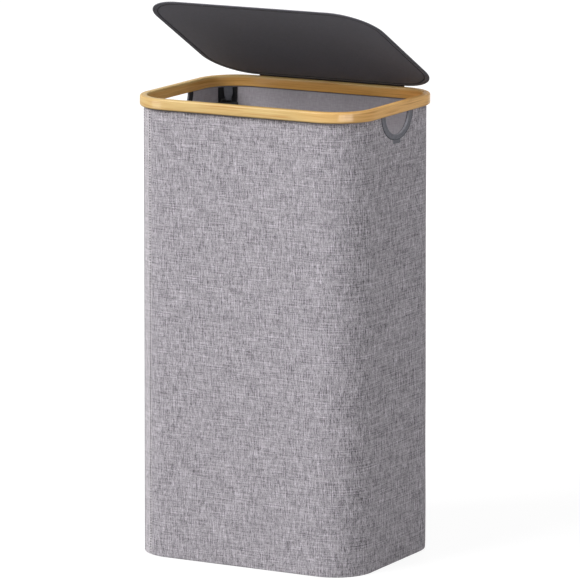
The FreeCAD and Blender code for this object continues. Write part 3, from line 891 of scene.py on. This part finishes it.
def make_strap(corner):
    """Webbing from under the rim round the clip's bail and back to its seam."""
    front = wall_reach(WALL_STACK + SLEEVE_T, WALL_TOP)
    loop = STRAP_T + CLEAR + BAIL_R
    bail = math.sqrt(front ** 2 - (STRAP_WIDTH / 2) ** 2) - CLEAR - loop
    bail_z = RIM_BOTTOM - 21 * MM
    mid = loop - STRAP_T / 2
    outer, inner = bail + mid, bail - mid
    path = [(outer, RIM_BOTTOM - 0.1 * MM), (outer, RIM_BOTTOM - 5 * MM), (outer, bail_z + 6 * MM)]
    turns = np.linspace(0, -np.pi, 13)
    path += [(bail + mid * math.cos(t), bail_z + mid * math.sin(t)) for t in turns]
    path += [(inner, bail_z + 4 * MM), (inner + 0.25 * MM, bail_z + 9 * MM),
             (outer - 1.9 * MM, bail_z + 13.5 * MM), (outer - 1.12 * MM, bail_z + 16.5 * MM),
             (outer - 1.08 * MM, RIM_BOTTOM - 0.6 * MM)]
    path = np.array(path)
    shares = np.linspace(-1, 1, 15)
    crease = np.exp(-((shares - 0.38) / 0.13) ** 2) * 0.6 * MM
    ribs = 0.06 * MM * np.cos(shares * 22)
    lower = -STRAP_T / 2 * np.clip(1 - np.abs(shares) ** 14 * 0.7, 0, 1)
    faces = np.concatenate([ribs - crease - lower, lower[::-1]])
    across = np.concatenate([shares, shares[::-1]])
    d, z = (path[:, :, None] + normals_of(path)[:, :, None] * faces).transpose(1, 0, 2)
    rising = smooth(bail_z, bail_z + 10 * MM, path[:, 1:])
    lean = STRAP_ASIDE.get(corner, 1.0 * MM) * (0.9 + 0.1 * rising)
    a = (4.2 * MM + (STRAP_WIDTH / 2 - 4.2 * MM) * rising) * across + lean
    points = from_corner(corner, d, a, z)
    return sweep("strap_" + corner, points, False, cloth_map(points, a, z, d))


# ---- lid
LID_R = 69.0 * MM
LID_SIDE_INSET = 2.35 * MM
LID_FRONT_INSET = 2.4 * MM
LID_SETBACK = 1.8 * MM
LID_BOTTOM = RIM_TOP + 0.3 * MM
LID_X = rim_high.x - LID_SIDE_INSET - LID_R
LID_BACK = HINGE.y - LID_SETBACK - LID_R
LID_FRONT = rim_low.y + LID_FRONT_INSET + LID_R
LID_MIDDLE = (LID_FRONT + LID_BACK) / 2
lid_lap = lap_round(LID_X, LID_FRONT, LID_BACK, even_marks(56), even_marks(32))
opening = (Matrix.Translation(HINGE) @ Matrix.Rotation(LID_OPEN, 4, Vector(hinge["axis"]))
           @ Matrix.Translation(-HINGE))


def open_lid(piece):
    """Turn a piece of the closed lid about the hinge to where the lid stands open."""
    piece.data.transform(opening)
    return piece


def lid_panel(name, edge, lower=None, upper=None):
    """Flat piece of the open lid; edge as (inset from the lid's edge, height over its bottom)."""
    edge = [(LID_R - inset * MM, LID_BOTTOM + height * MM) for inset, height in edge]
    return open_lid(panel(name, lid_lap, edge, lower, upper, rings=20))


def make_lid_under():
    """Under cloth, from the middle out to the lid's edge inside the band."""
    sag = waves(31, 18, 45 * MM, 260 * MM)
    edge = [(9.3, 0.25), (9.0, 0.66), (6.8, 0.66), (6.0, 0.45), (0.5, 0.45), (0.5, 0.76)]
    return lid_panel("lid_under_cloth", edge,
                     lambda x, y: LID_BOTTOM + 0.25 * MM + 0.10 * MM * sag(x, y))


def make_lid_top():
    """Upper cloth, from the lid's edge up over the padded board and flat under it."""
    crown = waves(37, 18, 45 * MM, 260 * MM)
    reach = LID_R - 10 * MM

    def height(x, y):
        far_x = np.clip(np.abs(x) / (LID_X + reach), 0, 1)
        far_y = np.clip(np.abs(y - LID_MIDDLE) / ((LID_BACK - LID_FRONT) / 2 + reach), 0, 1)
        dome = (1 - far_x ** 2) * (1 - far_y ** 2)
        return LID_BOTTOM + 3.55 * MM + 1.0 * MM * dome + 0.12 * MM * crown(x, y)

    edge = [(9.7, 3.3), (9.45, 3.0), (9.45, 0.84), (0.5, 0.84), (0.5, 1.16), (8.0, 1.2), (8.6, 1.5),
            (9.0, 2.4), (9.3, 3.2), (9.9, 3.5)]
    return lid_panel("lid_top_cloth", edge, upper=height)


def make_lid_band():
    """Tape folded round the lid's edge."""
    section = np.array([(7.0, 0.12), (6.8, 0.0), (1.2, 0.0), (0.45, 0.12), (0.08, 0.45), (0.0, 0.8),
                        (0.08, 1.15), (0.45, 1.48), (1.2, 1.6), (6.8, 1.6), (7.0, 1.48),
                        (7.0, 1.22), (0.45, 1.2), (0.45, 0.4), (7.0, 0.38)])
    outward = np.array([-1, -1, -1, -1, -0.5, 0, 0.5, 1, 1, 1, 1, 0, 0, 0, 0])
    inset, height = section.T * MM
    pucker = waves(41, 16, 8 * MM, 40 * MM)(lid_lap.along, inset * 0.5)
    z = LID_BOTTOM + height + 0.05 * MM * (pucker + 0.6) * outward
    points = lid_lap.place(np.broadcast_to(LID_R - inset, z.shape), z)
    cloth = cloth_map(points, lid_lap.along, np.arange(len(section)) * 1.2 * MM)
    return open_lid(sweep("lid_band", points, True, cloth, angle=50))


def make_lid_stitches():
    """Thread below, in the groove beside the band and slanting over it, and above along it."""
    rows = (                   # millimetres, apart from up and slant
        # inset, level, pitch, length, radius, up, slant
        (8.25, 0.45, 3.2, 3.4, 0.5, -1, 0),
        (2.8, 0.02, 3.6, 3.2, 0.22, -1, 1),
        (5.7, 1.62, 4.2, 3.0, 0.36, 1, 0),
    )
    pieces = []
    for inset, level, pitch, length, radius, up, slant in rows:
        ring = lid_lap.base + lid_lap.out * (LID_R - inset * MM)
        path = np.column_stack([ring, np.full(len(ring), LID_BOTTOM + level * MM)])
        points, run = spaced(np.concatenate([path, path[:1]]), pitch * MM)
        normal = np.tile([0.0, 0.0, up], (len(points), 1))
        along = run + slant * np.cross(normal, run)
        along /= np.linalg.norm(along, axis=1)[:, None]
        pieces.append(stitches("lid_stitch_row", points, along, normal, length * MM, radius * MM))
    return open_lid(join("lid_stitches", pieces))


# ---- hinge flap
def make_flap():
    """One strip of cloth from the tacked edge on the rim's back to the seam on the lid."""
    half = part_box("hinge_flap_root")[1].x
    tacked = rim_high.y + 0.35 * MM
    low = RIM_BOTTOM + RIM_EDGE_R
    path = [(tacked, low), (tacked, low + 5 * MM), (tacked, RIM_TOP - RIM_EDGE_R),
            (rim_high.y + 0.55 * MM, RIM_TOP - 0.4 * MM),
            (rim_high.y + 0.3 * MM, RIM_TOP + 1.8 * MM)]
    for distance, height in ((1.0, 2.0), (3.0, 1.95), (5.5, 1.92), (8.8, 1.9)):
        on_lid = opening @ Vector((0, HINGE.y - distance * MM, LID_BOTTOM + height * MM))
        path.append((on_lid.y, on_lid.z))
    path = np.array(path)
    path[5] += 0.1 * MM           # eased where it bends on to the lid
    total = lengths_along(path)
    marks = np.linspace(0, total[-1], 40)
    line = smooth_curve(path, total, marks)
    normal = normals_of(line)
    xs = np.linspace(-half, half, 90)[:, None]
    ripple = waves(43, 14, 12 * MM, 60 * MM)(xs, marks)
    free = smooth(low + 9 * MM, low + 14 * MM, line[:, 1])
    lifts = (0.12 * MM * (ripple + 1) * free)[..., None]
    thick = 0.3 * MM
    outer = line + normal * (lifts + thick)
    inner = (line + normal * (lifts - thick))[:, ::-1]
    section = np.hstack([outer, inner])
    x = np.broadcast_to(xs[..., None], section.shape[:2] + (1,))
    points = np.concatenate([x, section], axis=2)
    cloth = cloth_map(points, xs, np.concatenate([marks, marks[::-1]]))
    return sweep("hinge_flap", points[::-1], False, cloth[::-1], angle=60), total[-1]


def smooth_curve(path, total, marks):
    """Catmull-Rom line through the path's points."""
    tangents = np.gradient(path, total, axis=0)
    index = np.clip(np.searchsorted(total, marks, side="right") - 1, 0, len(path) - 2)
    span = (total[index + 1] - total[index])[:, None]
    t = ((marks - total[index]) / span[:, 0])[:, None]
    p0, p1 = path[index], path[index + 1]
    m0, m1 = tangents[index] * span, tangents[index + 1] * span
    return ((2 * t ** 3 - 3 * t ** 2 + 1) * p0 + (t ** 3 - 2 * t ** 2 + t) * m0
            + (-2 * t ** 3 + 3 * t ** 2) * p1 + (t ** 3 - t ** 2) * m1)


# ---- build the pieces
dress(make_rim(), bamboo, "hamper", "bamboo", "bamboo_rim")
outer = dress(make_outer_cloth(), linen, "hamper", "outer_linen", "outer_fabric")
lining = dress(make_lining(), lining_cloth, "hamper", "lining", "lining")
base = dress(make_base_cloth(), base_cloth, "hamper", "base_fabric", "base_fabric")
dress(make_hem(), hem_cloth_and_shade, "hamper", "dark_tape", "hem_tape")
dress(make_seam_tape(), seam_tape_cloth_and_light, "hamper", "seam_tape", "seam_tape")
dress(make_seam_stitches(), dark_thread, "hamper", "dark_tape")
for side in (-1, 1):
    tape_node = "hand_hole_tape_" + side_of(side)
    dress(hole_binding(side), binding_cloth_and_shade, "hamper", "dark_tape", tape_node)
    # painted shade: dark cord for the shadow of the crease round the tape
    crease = hole_cord(side, "hole_crease_shadow", 11.4 * MM, 0.1 * MM, 0.75 * MM)
    dress(crease, crease_shadow_cloth, "hamper", "dark_tape")
    # piping cord: real, its lighter grey is painted highlight
    piping = hole_cord(side, "hole_piping", 1.0 * MM, 0.7 * MM, 0.6 * MM)
    dress(piping, piping_cloth_and_highlight, "hamper", "dark_tape")
for corner in CORNERS:
    dress(make_sleeve(corner), sleeve_cloth, "hamper", "sleeve_band", "pole_sleeve_" + corner)
    dress(make_strap(corner), strap_cloth, "hamper", "strap_webbing", "pole_strap_" + corner)
lid_under = dress(make_lid_under(), lid_cloth, "lid", "lid_fabric", "lid_under_cover")
lid_top = dress(make_lid_top(), lid_cloth, "lid", "lid_fabric", "lid_top_cover")
dress(make_lid_band(), lid_band_cloth, "lid", "lid_tape", "lid_edge_tape")
dress(make_lid_stitches(), lid_thread, "lid", "lid_tape")
flap, flap_length = make_flap()
dress(flap, flap_cloth, None, "hinge_flap", "hinge_flap_root", "hinge_flap_lid")
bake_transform(flap)

plain = {"base_board": fibreboard, "lid_board": fibreboard, "pole_foot_caps": black_plastic,
         "hinge_tacks": dark_steel}
for side_name in ("front", "back", "left", "right"):
    plain[side_name + "_board"] = sheet_plastic
for corner in CORNERS:
    plain["corner_sheet_" + corner] = sheet_plastic
    plain["support_pole_" + corner] = steel
    plain["pole_clip_" + corner] = black_plastic
for node, material in plain.items():
    nodes[node].data.materials.clear()
    nodes[node].data.materials.append(material)

# ---- camera, light and stage
AZIMUTH = 28.72                   # degrees from the front towards the right
ELEVATION = 10.54
DISTANCE = 8.387
AIM_HEIGHT = 0.4111
AIM_ASIDE = 0.0074
LENS_MM = 335.4


def direction(bearing, elevation):
    """Unit vector at a bearing from +X and an elevation, in degrees."""
    turn, rise = math.radians(bearing), math.radians(elevation)
    level = math.cos(rise)
    return Vector((math.cos(turn) * level, math.sin(turn) * level, math.sin(rise)))


def aimed(name, data, aim, out, distance):
    """Camera or lamp that looks at aim from a distance away in the direction out."""
    made = bpy.data.objects.new(name, data)
    bpy.context.scene.collection.objects.link(made)
    made.location = aim + out * distance
    made.rotation_mode = "QUATERNION"
    made.rotation_quaternion = (-out).to_track_quat("-Z", "Y")
    return made


def make_camera():
    data = bpy.data.cameras.new("camera")
    data.lens = LENS_MM
    data.sensor_width = 36.0
    data.clip_end = 60.0
    aim = Vector((0, 0, AIM_HEIGHT)) + direction(AZIMUTH, 0) * AIM_ASIDE
    back = direction(AZIMUTH - 90, ELEVATION)
    camera = aimed("camera", data, aim, back, DISTANCE)
    bpy.context.scene.camera = camera


def make_lamp(name, bearing, elevation, distance, size, power, aim_height=0.4, diffuse=True,
              gloss=True):
    """Soft box, size (width, height), at a bearing and an elevation as seen from its aim."""
    data = bpy.data.lights.new(name, "AREA")
    data.shape = "RECTANGLE"
    data.size, data.size_y = size
    data.energy = power
    aim = Vector((0, 0, aim_height))
    lamp = aimed(name, data, aim, direction(bearing, elevation), distance)
    lamp.visible_diffuse = diffuse
    lamp.visible_glossy = gloss


def seen_directly(graph):
    """1 where the camera, a mirror or glass looks at the surface."""
    path = graph.add("LightPath")
    seen = graph.math("MAXIMUM", path.outputs["Is Camera Ray"], path.outputs["Is Glossy Ray"])
    return graph.math("MAXIMUM", seen, path.outputs["Is Transmission Ray"])


def make_world(strength):
    """Even light; seen directly it is white."""
    g = Graph("world", "worlds")
    light = g.add("Background", {"Color": (1, 1, 1, 1), "Strength": strength})
    white = g.add("Background", {"Color": (1, 1, 1, 1), "Strength": 1.0})
    mix = g.add("MixShader", {0: seen_directly(g), 1: light.outputs[0], 2: white.outputs[0]})
    bpy.context.scene.world = g.output(mix, "World")


def make_floor():
    """Pale floor; seen directly it is white, apart from the object's soft shadow."""
    corners = np.array([(-1, -1, 0), (1, -1, 0), (1, 1, 0), (-1, 1, 0)])
    floor = make_object("floor", corners * 9 - np.array((0, 0, 0.3 * MM)), [(0, 1, 2, 3)])
    g = Graph("floor")
    lit = g.add("BsdfDiffuse", {"Color": (0.25, 0.25, 0.25, 1)})
    faint = g.add("BsdfDiffuse", {"Color": (0.16, 0.16, 0.16, 1)})
    away = g.add("VectorMath", {0: g.position()}, operation="LENGTH").outputs["Value"]
    glow = g.add("Emission", {"Color": (1, 1, 1, 1), "Strength": g.ramp(away, 0.9, 2.5, 0.90, 1.0)})
    seen = g.add("AddShader", {0: faint.outputs[0], 1: glow.outputs[0]})
    mix = g.add("MixShader", {0: seen_directly(g), 1: lit.outputs[0], 2: seen.outputs[0]})
    floor.data.materials.append(g.output(mix))


make_camera()
make_world(0.16)
make_lamp("key", 240, 35, 14.0, (8.0, 7.0), 2480)
make_lamp("fill", 350, 14, 3.4, (1.6, 1.2), 41)
make_lamp("rear", 112, 22, 3.6, (1.8, 1.4), 50, gloss=False)
for name, bearing, size, power in (("left_card", 222.5, (0.75, 0.7), 14),
                                   ("back_card", 95, (0.9, 0.4), 1.2),
                                   ("right_card", 323, (1.0, 0.4), 20)):
    make_lamp(name, bearing, -4, 1.7, size, power, aim_height=0.6, diffuse=False)
make_floor()
bpy.context.scene.view_settings.view_transform = "Standard"
